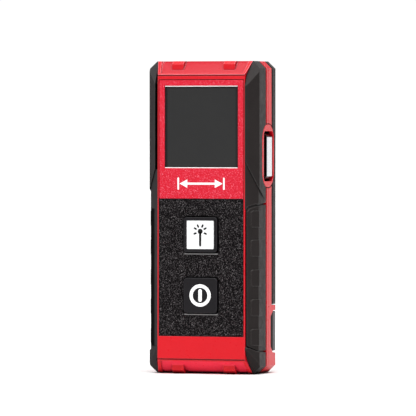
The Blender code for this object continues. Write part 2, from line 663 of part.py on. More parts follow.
# ---------------------------------------------------------------- face, display and keys

def key_outline_prism(z, size, radius, low, high, name="key"):
    return prism(name, rounded_outline((0.0, z), size, size, radius), "Y", low, high)


def face_inlays():
    bezel = block(
        "display_bezel",
        (-INLAY_HALF, INLAY_FRONT_Y, INLAY_SPLIT + INLAY_SPLIT_GAP), (INLAY_HALF, INLAY_BACK_Y, INLAY_HEAD))
    bezel = cut(bezel, block(
        "window_space",
        (-WINDOW_HALF - INLAY_GAP, AHEAD_Y, WINDOW_FOOT - INLAY_GAP),
        (WINDOW_HALF + INLAY_GAP, 0.0, WINDOW_HEAD + INLAY_GAP)))
    finish(bezel, "display_bezel", "red_texture")
    panel = block(
        "keypad_panel",
        (-INLAY_HALF, INLAY_FRONT_Y, INLAY_FOOT), (INLAY_HALF, INLAY_BACK_Y, INLAY_SPLIT - INLAY_SPLIT_GAP))
    for z in (MEASURE_Z, POWER_Z):
        panel = cut(panel, key_outline_prism(z, KEY_OPENING, KEY_CORNER + 0.4, AHEAD_Y, 0.0))
    finish(panel, "keypad_panel", "black_texture")
    window = block(
        "display_window",
        (-WINDOW_HALF, WINDOW_FRONT_Y, WINDOW_FOOT), (WINDOW_HALF, WINDOW_BACK_Y, WINDOW_HEAD))
    finish(window, "display_window", "display_glass")


def keycap(z, rim_chamfer):
    """A square key with a slanted rim, a flange behind the face and a stem for its switch."""
    cap = key_outline_prism(z, KEY_SIZE, KEY_CORNER, KEY_FRONT_Y, KEY_BACK_Y)
    step = cap.modifiers.new("Rim", "BEVEL")
    step.limit_method = "ANGLE"
    step.angle_limit = math.radians(60)
    step.width = rim_chamfer * MM
    step.segments = 1
    cap = baked(cap)
    cap = add(cap, key_outline_prism(z, KEY_FLANGE, KEY_CORNER + 1.0, KEY_FLANGE_Y, KEY_BACK_Y))
    return add(cap, rod("stem", (0.0, z), KEY_STEM_R, KEY_BACK_Y - 0.4, KEY_STEM_END_Y, "Y", 16))


def keys():
    measure = keycap(MEASURE_Z, MEASURE_RIM)
    insert_floor = KEY_FRONT_Y + INSERT_DEPTH
    measure = cut(measure, key_outline_prism(
        MEASURE_Z, INSERT_SIZE + 2 * INLAY_GAP, INSERT_CORNER + 0.1, KEY_FRONT_Y - 5.0, insert_floor + GAP))
    finish(measure, "measure_button", "grip_rubber", (0.0, KEY_FRONT_Y, MEASURE_Z))
    insert_face = KEY_FRONT_Y + INSERT_STEP
    insert = key_outline_prism(
        MEASURE_Z, INSERT_SIZE, INSERT_CORNER, insert_face, insert_floor, "measure_button_insert")
    finish(insert, "measure_button_insert", "white_plastic", (0.0, KEY_FRONT_Y, MEASURE_Z))
    power = keycap(POWER_Z, POWER_RIM)
    finish(power, "power_button", "grip_rubber", (0.0, KEY_FRONT_Y, POWER_Z))


def switches():
    for name, z in (("measure_switch", MEASURE_Z), ("power_switch", POWER_Z)):
        half = SWITCH_SIZE / 2
        body = block(name, (-half, SWITCH_FRONT_Y, z - half), (half, SWITCH_BACK_Y, z + half))
        finish(body, name, "black_plastic")
        plunger = rod(name + "_plunger", (0.0, z), 1.5, PLUNGER_FRONT_Y, PLUNGER_BACK_Y, "Y", 16)
        finish(plunger, name + "_plunger", "white_plastic", (0.0, PLUNGER_FRONT_Y, z))
    seal = block("keypad_seal", (-7.0, SEAL_FRONT_Y, 19.0), (7.0, SEAL_BACK_Y, 58.5))
    for z in (MEASURE_Z, POWER_Z):
        seal = cut(seal, rod("seal_hole", (0.0, z), 2.4, AHEAD_Y, 0.0, "Y", 20))
    finish(seal, "keypad_seal", "silicone")


def display_stack():
    lcd = block("lcd_panel", (-LCD_HALF, LCD_FRONT_Y, LCD_FOOT), (LCD_HALF, LCD_BACK_Y, LCD_HEAD))
    finish(lcd, "lcd_panel", "lcd_glass")
    frame = block(
        "lcd_frame", (-LCD_HALF, LCD_FRAME_FRONT_Y, LCD_FOOT), (LCD_HALF, LCD_FRAME_BACK_Y, LCD_HEAD))
    frame = cut(frame, block(
        "frame_space", (-LCD_HALF + 1.4, AHEAD_Y, LCD_FOOT + 1.4), (LCD_HALF - 1.4, 0.0, LCD_HEAD - 1.4)))
    finish(frame, "lcd_frame", "black_plastic")
    strip = block(
        "lcd_connector", (-10.0, LCD_FRAME_FRONT_Y, LCD_FOOT + 2.0), (10.0, LCD_FRAME_BACK_Y, LCD_FOOT + 4.2))
    finish(strip, "lcd_connector", "silicone")


def electronics():
    board = block(
        "main_board", (-BOARD_HALF, BOARD_FRONT_Y, BOARD_FOOT), (BOARD_HALF, BOARD_BACK_Y, BOARD_HEAD))
    for way in (1, -1):
        board = cut(board, rod("board_hole", (way * POST_X, POST_Z), BOARD_HOLE_R, AHEAD_Y, 0.0, "Y", 16))
    finish(board, "main_board", "board_green")
    for way, side in ((1, "right"), (-1, "left")):
        place = (way * POST_X, POST_Z)
        screw = rod("board_screw", place, 1.4, BOARD_BACK_Y + GAP, BOARD_BACK_Y + 1.2, "Y", 16)
        screw = add(screw, rod("shank", place, 0.6, -8.6, BOARD_BACK_Y + 0.6, "Y", 12))
        finish(screw, "board_screw_" + side, "steel")
    chip = block("microcontroller", (-3.6, BOARD_BACK_Y + GAP, 63.0), (3.6, BOARD_BACK_Y + 1.3, 70.2))
    finish(chip, "microcontroller", "black_plastic")
    buzzer = rod("buzzer", (0.0, 34.0), 4.5, BOARD_BACK_Y + GAP, BAY_FLOOR_Y - BAY_WALL - GAP, "Y", 24)
    finish(buzzer, "buzzer", "black_plastic")


# ---------------------------------------------------------------- power

def cell(name, x, low, nub_up):
    """A dry cell with its raised positive end."""
    high = low + CELL_LENGTH
    nub = 0.9
    profile = [
        (0.0, high), (1.8, high), (1.8, high - nub), (CELL_R - 0.4, high - nub), (CELL_R, high - nub - 0.4),
        (CELL_R, low + 0.4), (CELL_R - 0.4, low), (0.0, low),
    ]
    if not nub_up:
        profile = [(radius, low + high - z) for radius, z in reversed(profile)]
    finish(turned(name, profile, (x, CELL_Y)), name, "cell_sleeve")


def coil_spring(name, x, low, high):
    """A conical contact spring, wound from a wire."""
    turns, per_turn, wire = 3.0, 10, 0.3
    count = int(turns * per_turn)
    curve = bpy.data.curves.new(name, "CURVE")
    curve.dimensions = "3D"
    curve.bevel_depth = wire * MM
    curve.bevel_resolution = 0
    curve.use_fill_caps = True
    spline = curve.splines.new("POLY")
    spline.points.add(count)
    for index, point in enumerate(spline.points):
        share = index / count
        angle = share * turns * 2 * math.pi
        radius = 3.6 - 1.6 * share
        z = low + wire + share * (high - low - 2 * wire)
        point.co = (
            (x + radius * math.cos(angle)) * MM, (CELL_Y + radius * math.sin(angle)) * MM, z * MM, 1.0)
    return baked(new_object(name, curve))


def power_parts():
    plate = 0.4
    spring = 2.8
    foot = BAY_FOOT + GAP
    head = BAY_HEAD - GAP
    cell("battery_cell_1", -CELL_X, foot + spring + GAP, True)
    cell("battery_cell_2", CELL_X, foot + plate + GAP, False)
    finish(coil_spring("battery_spring_1", -CELL_X, foot, foot + spring), "battery_spring_1", "steel")
    top_spring = coil_spring("battery_spring_2", CELL_X, foot, foot + spring)
    top_spring.data.transform(Matrix.Translation((0, 0, head * MM)) @ Matrix.Rotation(math.pi, 4, "X")
                              @ Matrix.Translation((0, 0, -foot * MM)))
    top_spring.data.transform(Matrix.Translation((0, 2 * CELL_Y * MM, 0)))
    finish(top_spring, "battery_spring_2", "steel")
    for name, x, low in (("battery_plate_1", -CELL_X, head - plate), ("battery_plate_2", CELL_X, foot)):
        finish(block(name, (x - 4.2, CELL_Y - 4.2, low), (x + 4.2, CELL_Y + 4.2, low + plate)), name, "steel")


def battery_door():
    wing_space = block("wing_space", (-FAR, WING_FRONT_Y, DOOR_FOOT), (FAR, FAR, WING_HEAD))
    wing = overlap(form("wing", facets=False), wing_space)
    wing = cut(wing, form("under", side=GRIP_INSET, face=GRIP_INSET, end=GRIP_INSET, facets=False))
    panel = block("panel", (-DOOR_HALF, REAR_Y - DOOR_THICK, DOOR_FOOT), (DOOR_HALF, REAR_Y, DOOR_HEAD))
    door = add(wing, panel)
    for index in range(5):
        low = 10.5 + 2.2 * index
        door = cut(door, block("thumb_groove", (-7.0, REAR_Y - 0.5, low), (7.0, REAR_Y + 2.0, low + 1.0)))
    finish(door, "battery_door", "door_plastic", (0.0, HINGE_Y, HINGE_Z))
    outline = [(WING_FRONT_Y - GAP, 8.6), (4.3, 10.4), (4.3, 19.2), (WING_FRONT_Y - GAP, 21.4)]
    pull = prism("pull", outline, "X", PULL_TOOL_X, FAR / 2)
    pull = overlap(pull, form("pull_form", side=PULL_INSET, facets=False))
    pull = cut(pull, form("under", side=GRIP_INSET, face=GRIP_INSET, end=GRIP_INSET, facets=False))
    left = mirrored(pull, "door_pull_left")
    finish(pull, "door_pull_right", "grip_rubber", (0.0, HINGE_Y, HINGE_Z))
    finish(left, "door_pull_left", "grip_rubber", (0.0, HINGE_Y, HINGE_Z))


# ---------------------------------------------------------------- optics

def lens(name, x, radius, low, bulge):
    """A lens with a flat back and a domed front."""
    rim, steps = 1.2, 4
    profile = []
    for index in range(steps + 1):
        share = index / steps
        profile.append((radius * share, low + rim + bulge * (1 - share ** 2)))
    profile += [(radius, low), (0.0, low)]
    finish(turned(name, profile, (x, OPTICS_Y), 28), name, "lens_glass")


def optics():
    frame = block("optics_frame", (-OPTICS_HALF, -2.8, OPTICS_FOOT), (OPTICS_HALF, 10.0, OPTICS_HEAD))
    frame = cut(frame, rod("laser_bore", (LASER_X, OPTICS_Y), LASER_R + GAP, 0.0, FAR * 2, "Z", 28))
    frame = cut(frame, rod("receiver_bore", (RECEIVER_X, OPTICS_Y), RECEIVER_R + GAP, 0.0, FAR * 2, "Z", 32))
    finish(frame, "optics_frame", "black_plastic")
    barrel = rod("laser_barrel", (LASER_X, OPTICS_Y), LASER_R, 86.0, 103.4, "Z", 28)
    barrel = cut(barrel, rod("barrel_bore", (LASER_X, OPTICS_Y), 2.3, 80.0, 101.2, "Z", 20))
    barrel = cut(barrel, rod("barrel_seat", (LASER_X, OPTICS_Y), 2.9, 101.0, 110.0, "Z", 24))
    finish(barrel, "laser_barrel", "brass")
    diode = rod("laser_diode", (LASER_X, OPTICS_Y), 2.0, 84.0, 89.0, "Z", 20)
    diode = add(diode, rod("diode_flange", (LASER_X, OPTICS_Y), 2.8, 84.0, 85.6, "Z", 20))
    finish(diode, "laser_diode", "steel")
    lens("collimator_lens", LASER_X, 2.6, 101.5, 0.5)
    lens("receiver_lens", RECEIVER_X, RECEIVER_R, 99.0, 1.1)
    board = block("receiver_board", (-1.4, -1.6, 78.6), (9.8, 9.6, 79.8))
    finish(board, "receiver_board", "board_green")
    sensor = block(
        "receiver_sensor", (RECEIVER_X - 2.0, OPTICS_Y - 2.0, 80.1), (RECEIVER_X + 2.0, OPTICS_Y + 2.0, 81.3))
    finish(sensor, "receiver_sensor", "black_plastic")
    cover = block(
        "optics_cover",
        (-APERTURE_HALF, APERTURE_FRONT_Y, APERTURE_FOOT), (APERTURE_HALF, APERTURE_REAR_Y, APERTURE_TOP))
    for name, x, radius in (("laser_window", LASER_X, 2.9), ("receiver_window", RECEIVER_X, 5.4)):
        cover = cut(cover, rod("port", (x, OPTICS_Y), radius + INLAY_GAP, 0.0, FAR * 2, "Z", 32))
        window = rod(name, (x, OPTICS_Y), radius, APERTURE_FOOT, APERTURE_TOP - 0.4, "Z", 32)
        finish(window, name, "lens_glass")
    finish(cover, "optics_cover", "black_plastic")


# ---------------------------------------------------------------- lanyard bar and screws

def lanyard():
    pocket = overlap(rim_tool(), form("pocket_form", facets=False))
    pocket = overlap(pocket, block("pocket_depth", (POCKET_BACK_X, -FAR, 0.0), (FAR, FAR, HEIGHT)))
    slot = rounded_outline((SLOT_Y, SLOT_Z), SLOT_DEEP, SLOT_TALL, SLOT_CORNER)
    pocket = cut(pocket, prism("slot", slot, "X", POCKET_FLOOR_X, FAR / 2))
    finish(pocket, "lanyard_pocket", "red_shell")
    low, high = BAR_FOOT, BAR_HEAD
    deep = POCKET_FLOOR_X + GAP
    front = HALF_WIDTH - 0.2
    thick = BAR_THICK
    back = front - thick
    profile = [
        (deep, low), (front - BAR_SLANT, low), (front, low + BAR_SHOULDER), (front, high - BAR_SHOULDER),
        (front - BAR_SLANT, high), (deep, high), (deep, high - thick), (back - 0.5, high - thick),
        (back, high - thick - 0.6), (back, low + thick + 0.6), (back - 0.5, low + thick), (deep, low + thick),
    ]
    finish(prism("lanyard_bar", profile, "Y", BAR_FRONT_Y, BAR_REAR_Y), "lanyard_bar", "steel")


def housing_screws():
    for number, (x, z, _) in enumerate(SCREW_PLACES, start=1):
        name = "housing_screw_" + str(number)
        screw = rod(name, (x, z), SCREW_HEAD_R, SCREW_SEAT_Y, SCREW_HEAD_Y, "Y", 20)
        screw = add(screw, rod("shank", (x, z), SCREW_R, SCREW_TIP_Y, SCREW_SEAT_Y + 0.4, "Y", 12))
        for wide, tall in ((2.0, 0.5), (0.5, 2.0)):
            low = (x - wide / 2, SCREW_HEAD_Y - 0.7, z - tall / 2)
            high = (x + wide / 2, SCREW_HEAD_Y + 1.0, z + tall / 2)
            screw = cut(screw, block("cross", low, high))
        finish(screw, name, "steel")


def main():
    clear_scene()
    front_housing()
    rear_housing()
    rear_label()
    grips()
    face_inlays()
    keys()
    switches()
    display_stack()
    electronics()
    power_parts()
    battery_door()
    optics()
    lanyard()
    housing_screws()


main()
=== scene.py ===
import json
import math

import bpy
from mathutils import Matrix, Vector


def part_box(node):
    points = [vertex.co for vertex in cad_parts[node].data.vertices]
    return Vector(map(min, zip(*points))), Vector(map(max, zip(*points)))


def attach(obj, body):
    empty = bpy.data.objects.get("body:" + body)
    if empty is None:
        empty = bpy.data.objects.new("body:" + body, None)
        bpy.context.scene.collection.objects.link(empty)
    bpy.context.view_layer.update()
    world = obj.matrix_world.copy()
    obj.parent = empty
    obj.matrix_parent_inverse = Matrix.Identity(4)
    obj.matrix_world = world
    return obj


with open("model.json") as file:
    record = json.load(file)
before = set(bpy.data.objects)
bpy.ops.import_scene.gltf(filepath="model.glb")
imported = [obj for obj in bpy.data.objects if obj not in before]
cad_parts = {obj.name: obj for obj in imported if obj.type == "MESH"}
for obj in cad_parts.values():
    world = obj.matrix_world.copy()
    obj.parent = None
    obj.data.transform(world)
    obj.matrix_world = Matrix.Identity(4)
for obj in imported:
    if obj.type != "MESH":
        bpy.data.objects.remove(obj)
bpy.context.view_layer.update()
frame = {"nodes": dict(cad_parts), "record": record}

MM = 0.001
BLACK = (0.0, 0.0, 0.0)
nodes = frame["nodes"]
scene = bpy.context.scene


# ------------------------------------------------------------------ shader tools

class Shader:
    """A material's node tree with a Principled shader, and short ways to add nodes to it."""

    def __init__(self, name):
        self.material = bpy.data.materials.new(name)
        self.material.use_nodes = True
        self.tree = self.material.node_tree
        self.main = self.tree.nodes["Principled BSDF"]
        self.place = self.tree.nodes.new("ShaderNodeTexCoord").outputs["Object"]

    def set(self, **values):
        for name, value in values.items():
            socket = self.main.inputs[name.replace("_", " ")]
            socket.default_value = (*value, 1.0) if isinstance(value, tuple) else value
        return self

    def link(self, source, target):
        self.tree.links.new(source, target)

    def stretched(self, scale):
        """The object's coordinates, scaled by a different amount on each axis."""
        node = self.tree.nodes.new("ShaderNodeVectorMath")
        node.operation = "MULTIPLY"
        self.link(self.place, node.inputs[0])
        node.inputs[1].default_value = scale
        return node.outputs["Vector"]

    def noise(self, scale, detail=2.0, rough=0.5, distortion=0.0, place=None):
        node = self.tree.nodes.new("ShaderNodeTexNoise")
        node.inputs["Scale"].default_value = scale
        node.inputs["Detail"].default_value = detail
        node.inputs["Roughness"].default_value = rough
        node.inputs["Distortion"].default_value = distortion
        self.link(place or self.place, node.inputs["Vector"])
        return node.outputs["Fac"]

    def cell_borders(self, scale):
        """The distance to the nearest border of a pattern of cells."""
        node = self.tree.nodes.new("ShaderNodeTexVoronoi")
        node.feature = "DISTANCE_TO_EDGE"
        node.inputs["Scale"].default_value = scale
        self.link(self.place, node.inputs["Vector"])
        return node.outputs["Distance"]

    def ramp(self, value, *stops):
        """Maps a value through (position, colour or grey) stops."""
        node = self.tree.nodes.new("ShaderNodeValToRGB")
        elements = node.color_ramp.elements
        while len(elements) < len(stops):
            elements.new(0.5)
        for element, (position, colour) in zip(elements, stops):
            element.position = position
            element.color = (*colour, 1.0) if isinstance(colour, tuple) else (colour, colour, colour, 1.0)
        self.link(value, node.inputs["Fac"])
        return node.outputs["Color"]

    def spread(self, value, low, high, from_low=0.3, from_high=0.7):
        """Maps a value from one range to another."""
        node = self.tree.nodes.new("ShaderNodeMapRange")
        limits = {"From Min": from_low, "From Max": from_high, "To Min": low, "To Max": high}
        for name, number in limits.items():
            node.inputs[name].default_value = number
        self.link(value, node.inputs["Value"])
        return node.outputs["Result"]

    def mix(self, share, first, second):
        """Mixes two colours; each is a colour or a socket."""
        node = self.tree.nodes.new("ShaderNodeMix")
        node.data_type = "RGBA"
        sockets = (node.inputs[6], node.inputs[7])  # the node's colour sockets, A and B
        for socket, value in zip(sockets, (first, second)):
            if isinstance(value, tuple):
                socket.default_value = (*value, 1.0)
            else:
                self.link(value, socket)
        if isinstance(share, float):
            node.inputs[0].default_value = share
        else:
            self.link(share, node.inputs[0])
        return node.outputs[2]

    def add(self, first, second, operation="ADD"):
        """Adds two values, or combines them by another operation; each is a number or a socket."""
        node = self.tree.nodes.new("ShaderNodeMath")
        node.operation = operation
        for socket, value in zip(node.inputs, (first, second)):
            if isinstance(value, float):
                socket.default_value = value
            else:
                self.link(value, socket)
        return node.outputs["Value"]

    def axis(self, letter):
        """One of the object's own coordinates, in metres."""
        split = self.tree.nodes.new("ShaderNodeSeparateXYZ")
        self.link(self.place, split.inputs[0])
        return split.outputs[letter]

    def edges(self, radius):
        """About 1 on sharp edges and 0 on flat surfaces."""
        bevel = self.tree.nodes.new("ShaderNodeBevel")
        bevel.samples = 6
        bevel.inputs["Radius"].default_value = radius
        normal = self.tree.nodes.new("ShaderNodeNewGeometry").outputs["Normal"]
        dot = self.tree.nodes.new("ShaderNodeVectorMath")
        dot.operation = "DOT_PRODUCT"
        self.link(bevel.outputs["Normal"], dot.inputs[0])
        self.link(normal, dot.inputs[1])
        return self.spread(dot.outputs["Value"], 1.0, 0.0, 0.80, 0.995)

    def upward(self, low=0.2, high=0.7):
        """About 1 where the surface faces up and 0 where it is upright."""
        split = self.tree.nodes.new("ShaderNodeSeparateXYZ")
        self.link(self.tree.nodes.new("ShaderNodeNewGeometry").outputs["Normal"], split.inputs[0])
        return self.spread(split.outputs["Z"], 0.0, 1.0, low, high)

    def crevice_shade(self, reach, keep=0.0):
        """Painted shade from ambient occlusion: about 1 in the open and down to keep in narrow gaps."""
        node = self.tree.nodes.new("ShaderNodeAmbientOcclusion")
        node.samples = 6
        node.inputs["Distance"].default_value = reach
        return self.spread(node.outputs["AO"], keep, 1.0, 0.28, 0.72)

    def colour(self, socket, reach=0.0016, keep=0.03):
        """Sets the base colour, with painted shade that darkens it in narrow gaps."""
        unshaded = self.crevice_shade(reach, keep)
        self.link(self.mix(unshaded, BLACK, socket), self.main.inputs["Base Color"])
        return self

    def rough(self, socket):
        self.link(socket, self.main.inputs["Roughness"])
        return self

    def bump(self, height, distance, strength=1.0, soft_edge=0.0):
        """Adds a fine relief, over edges that look rounded by the radius soft_edge."""
        node = self.tree.nodes.new("ShaderNodeBump")
        node.inputs["Distance"].default_value = distance
        node.inputs["Strength"].default_value = strength
        self.link(height, node.inputs["Height"])
        if soft_edge:
            bevel = self.tree.nodes.new("ShaderNodeBevel")
            bevel.samples = 8
            bevel.inputs["Radius"].default_value = soft_edge
            self.link(bevel.outputs["Normal"], node.inputs["Normal"])
        self.link(node.outputs["Normal"], self.main.inputs["Normal"])

    def band(self, value, low, high, soft=0.0002):
        """About 1 where a value lies between low and high, and 0 outside."""
        rising = self.spread(value, 0.0, 1.0, low - soft, low)
        falling = self.spread(value, 1.0, 0.0, high, high + soft)
        return self.add(rising, falling, "MULTIPLY")


# ------------------------------------------------------------------ materials

# Places that a colour follows, in metres in the shared frame. A pair is where a change starts and ends.
KEY_HEIGHTS = [sum(corner.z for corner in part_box(name)) / 2 for name in ("measure_button", "power_button")]
LIP_DROP = (0.0070, 0.0067)         # from a key's middle down to the lip under it, where a highlight is painted
LIP_HALF_WIDTH = (0.0060, 0.0066)
HEIGHT = 0.112
SLANT = 0.0078                      # on a slanted end's ribs, Y plus the distance from the end is minus this
PANEL_SINK = (0.0004, 0.0008)       # how far the panels of the slanted ends lie below their ribs
FOOT_PANEL_TOP = (0.0044, 0.0050)
HEAD_PANEL_FOOT = (0.1070, 0.1076)
PANEL_REAR = (-0.0042, -0.0036)
POCKET_MOUTH = (0.0192, 0.0197)     # further in than this, the lanyard pocket is painted black as shade
DISPLAY_SIDE = (0.0125, 0.0135)
DISPLAY_HEAD = (0.1019, 0.1028)
CHEEK_Y = (-0.0103, -0.0092)        # the strip of painted shade on the left grip's lower cheek
CHEEK_Z = (0.0098, 0.0590)
CHEEK_SOFT = 0.0010
BAR_MIDDLE = 0.07775
BAR_END = (0.00695, 0.0071)         # from the lanyard bar's middle to its ends, which are painted dark as shade
BAR_FRONT = (0.0001, 0.0005)
CELL_SPAN = 0.06                    # the height over which the cells' colours are laid out
HIGHLIGHT_EDGE = 0.00045                 # the radius within which an edge gets a painted highlight


def sunk_panel(s, foot):
    """About 1 on the sunk panel of the end chamfer at the foot or the head, and 0 on its ribs."""
    y, z = s.axis("Y"), s.axis("Z")
    along = s.add(y, z) if foot else s.add(s.add(y, z, "SUBTRACT"), HEIGHT)
    deep = s.spread(s.add(along, SLANT), 0.0, 1.0, *PANEL_SINK)
    near = s.spread(z, 1.0, 0.0, *FOOT_PANEL_TOP) if foot else s.spread(z, 0.0, 1.0, *HEAD_PANEL_FOOT)
    front = s.spread(y, 1.0, 0.0, *PANEL_REAR)
    return s.add(s.add(deep, near, "MULTIPLY"), front, "MULTIPLY")


def red_plastic(name):
    """The shells' red plastic, with painted highlights on its edges and painted light on the sunk panels of
    its ends; its colour is still to be linked.
    """
    s = Shader(name).set(Roughness=0.3, Specular_IOR_Level=0.24)
    drift = s.noise(45.0, 3.0)
    red = s.mix(s.spread(drift, 0.0, 1.0), (0.58, 0.0015, 0.0090), (0.55, 0.001, 0.0080))
    # Painted light: the foot's sunk panel is painted pale pink, standing in for the white floor's reflection
    # in it.
    red = s.mix(sunk_panel(s, True), red, (0.76, 0.026, 0.060))
    # Painted shade: the head's sunk panel is painted a duller, darker red, offsetting the light from above.
    red = s.mix(sunk_panel(s, False), red, (0.46, 0.009, 0.020))
    # Painted highlight: edges are painted pale pink, most where they face up towards the light.
    highlight = s.add(s.add(s.upward(), 0.8, "MULTIPLY"), 0.08)
    red = s.mix(s.add(s.edges(HIGHLIGHT_EDGE), highlight, "MULTIPLY"), red, (0.86, 0.30, 0.35))
    s.rough(s.spread(s.noise(900.0, 4.0, 0.6), 0.26, 0.38))
    s.bump(s.noise(5200.0, 2.0), 0.00001, 0.45, 0.0003)
    return s, red


def red_shell():
    s, red = red_plastic("red_shell")
    return s.colour(red).material


def pocket_shell():
    """The red shell's plastic, with painted shade in black deep inside the lanyard pocket."""
    s, red = red_plastic("pocket_shell")
    depth = s.spread(s.axis("X"), 0.0, 1.0, *POCKET_MOUTH)
    s.colour(s.mix(depth, (0.001, 0.0008, 0.0008), red))
    return s.material


def red_texture():
    s = Shader("red_texture").set(Roughness=0.5, Specular_IOR_Level=0.24)
    grain = s.noise(3000.0, 3.0, 0.62, 0.6)
    # The grain's palest pink peaks are painted glints, over the grain's own red tone.
    red = s.ramp(
        grain, (0.36, (0.52, 0.001, 0.012)), (0.52, (0.57, 0.003, 0.022)), (0.59, (0.62, 0.022, 0.052)),
        (0.66, (0.72, 0.15, 0.20)))
    s.colour(red).rough(s.spread(grain, 0.6, 0.4))
    s.bump(grain, 0.00018, 0.8)
    return s.material


def black_texture():
    """The keypad panel, with painted glints on its grain, painted shade in narrow gaps and a painted
    highlight on the lip under each key.
    """
    s = Shader("black_texture").set(Roughness=0.5, Specular_IOR_Level=0.06)
    weave = s.noise(3500.0, 2.0, 0.6, 1.1, s.stretched((1.0, 1.0, 0.85)))
    fine = s.noise(5200.0, 2.0)
    grain = s.add(s.add(weave, 0.85, "MULTIPLY"), s.add(fine, 0.15, "MULTIPLY"))
    # The grain's palest peaks are painted glints, over the grain's own dark tone.
    black = s.ramp(
        grain, (0.45, (0.0003, 0.0001, 0.0002)), (0.525, (0.0018, 0.0008, 0.0012)),
        (0.58, (0.020, 0.016, 0.018)), (0.64, (0.16, 0.148, 0.152)))
    # Painted shade in narrow gaps.
    black = s.mix(s.crevice_shade(0.0016, 0.03), BLACK, black)
    # Painted highlight: a pale band on the lip under each key.
    across = s.spread(s.add(s.axis("X"), 0.0, "ABSOLUTE"), 1.0, 0.0, *LIP_HALF_WIDTH)
    under = [s.band(s.axis("Z"), z - LIP_DROP[0], z - LIP_DROP[1], 0.0001) for z in KEY_HEIGHTS]
    lip_highlight = s.add(s.add(under[0], under[1], "MAXIMUM"), across, "MULTIPLY")
    s.link(s.mix(lip_highlight, black, (0.20, 0.195, 0.195)), s.main.inputs["Base Color"])
    s.rough(s.spread(grain, 0.62, 0.36))
    s.bump(grain, 0.00018, 0.7)
    return s.material


def rubber(name, tone, highlight, roughness, specular, grain_scale=3800.0, shaded_cheek=False):
    """Moulded rubber with painted highlights on its edges and upward faces, and painted shade in narrow
    gaps. The cheek argument gives the lower cheek a strip of painted shade.
    """
    s = Shader(name).set(Roughness=roughness, Specular_IOR_Level=specular)
    drift = s.noise(120.0, 4.0, 0.6)
    dark = tuple(0.78 * value for value in tone)
    black = s.mix(s.spread(drift, 0.0, 1.0), tone, dark)
    # Painted highlight on edges.
    black = s.mix(s.add(s.edges(HIGHLIGHT_EDGE), 0.7, "MULTIPLY"), black, highlight)
    # Painted shade in narrow gaps.
    black = s.mix(s.crevice_shade(0.0005, 0.15), BLACK, black)
    # Painted light: faces that look up are painted paler.
    black = s.mix(s.add(s.upward(), 0.5, "MULTIPLY"), black, highlight)
    # Painted shade: a black strip on the lower cheek.
    if shaded_cheek:
        across = s.band(s.axis("Y"), *CHEEK_Y, CHEEK_SOFT)
        inside = s.add(across, s.band(s.axis("Z"), *CHEEK_Z), "MULTIPLY")
        black = s.mix(inside, black, (0.0006, 0.0004, 0.0004))
    s.colour(black).rough(s.spread(s.noise(700.0, 3.0), roughness - 0.06, roughness + 0.07))
    s.bump(s.noise(grain_scale, 3.0, 0.6), 0.00002, 0.6, 0.00035)
    return s.material


def plain_plastic(name, tone, roughness, specular=0.3, grain=4200.0, height=0.000014):
    """Plain moulded plastic with a fine grain, painted highlights on its edges and painted shade in narrow
    gaps.
    """
    s = Shader(name).set(Roughness=roughness, Specular_IOR_Level=specular)
    drift = s.noise(160.0, 3.0)
    colour = s.mix(s.spread(drift, 0.0, 1.0), tone, tuple(0.88 * value for value in tone))
    highlight = tuple(min(1.0, 1.5 * value + 0.02) for value in tone)
    # Painted highlight on edges.
    colour = s.mix(s.add(s.edges(0.0003), 0.25, "MULTIPLY"), colour, highlight)
    s.colour(colour).rough(s.spread(s.noise(800.0, 3.0), roughness - 0.05, roughness + 0.06))
    s.bump(s.noise(grain, 2.0), height, 0.5)
    return s.material


def display_glass():
    """The smoked display cover, with painted shade at its sides and head."""
    s = Shader("display_glass").set(Roughness=0.16, Specular_IOR_Level=0.22)
    haze = s.noise(60.0, 2.0)
    glass = s.mix(s.spread(haze, 0.0, 1.0), (0.0168, 0.0168, 0.0168), (0.0152, 0.0152, 0.0156))
    # Painted shade along the sides and head of the cover's recess.
    side = s.spread(s.add(s.axis("X"), 0.0, "ABSOLUTE"), 0.0, 1.0, *DISPLAY_SIDE)
    head = s.spread(s.axis("Z"), 0.0, 1.0, *DISPLAY_HEAD)
    s.colour(s.mix(s.add(side, head, "MAXIMUM"), glass, (0.0015, 0.0015, 0.0016)))
    s.rough(s.spread(s.noise(240.0, 4.0, 0.7), 0.13, 0.21))
    s.bump(s.noise(900.0, 1.0), 0.000002, 0.3)
    return s.material


def brushed_metal(name):
    """Brushed steel, with its colour still to be linked."""
    s = Shader(name).set(Metallic=1.0, Roughness=0.26)
    brushing = s.noise(900.0, 4.0, 0.7, 0.0, s.stretched((1.0, 7.0, 0.25)))
    steel = s.ramp(brushing, (0.3, (0.66, 0.68, 0.71)), (0.7, (0.84, 0.85, 0.88)))
    s.rough(s.spread(brushing, 0.20, 0.34))
    s.bump(brushing, 0.000008, 0.5)
    return s, steel


def brushed_steel():
    s, steel = brushed_metal("steel")
    return s.colour(steel).material


def bar_steel():
    """Brushed steel, with painted shade at its ends and along its front edge."""
    s, steel = brushed_metal("bar_steel")
    half = s.add(s.add(s.axis("Z"), BAR_MIDDLE, "SUBTRACT"), 0.0, "ABSOLUTE")
    ends = s.spread(half, 0.0, 1.0, *BAR_END)
    shaded = s.spread(s.axis("Y"), 1.0, 0.0, *BAR_FRONT)
    # Painted shade where the bar's ends turn into the pocket and along its front edge.
    dark = s.add(ends, shaded, "MAXIMUM")
    s.colour(s.mix(dark, steel, (0.010, 0.011, 0.012)))
    return s.material


def brass():
    s = Shader("brass").set(Metallic=1.0, Roughness=0.3)
    turning = s.noise(700.0, 3.0, 0.6, 0.0, s.stretched((0.2, 0.2, 6.0)))
    s.colour(s.ramp(turning, (0.3, (0.70, 0.50, 0.20)), (0.7, (0.83, 0.63, 0.30))))
    s.rough(s.spread(turning, 0.24, 0.38))
    s.bump(turning, 0.000008, 0.5)
    return s.material


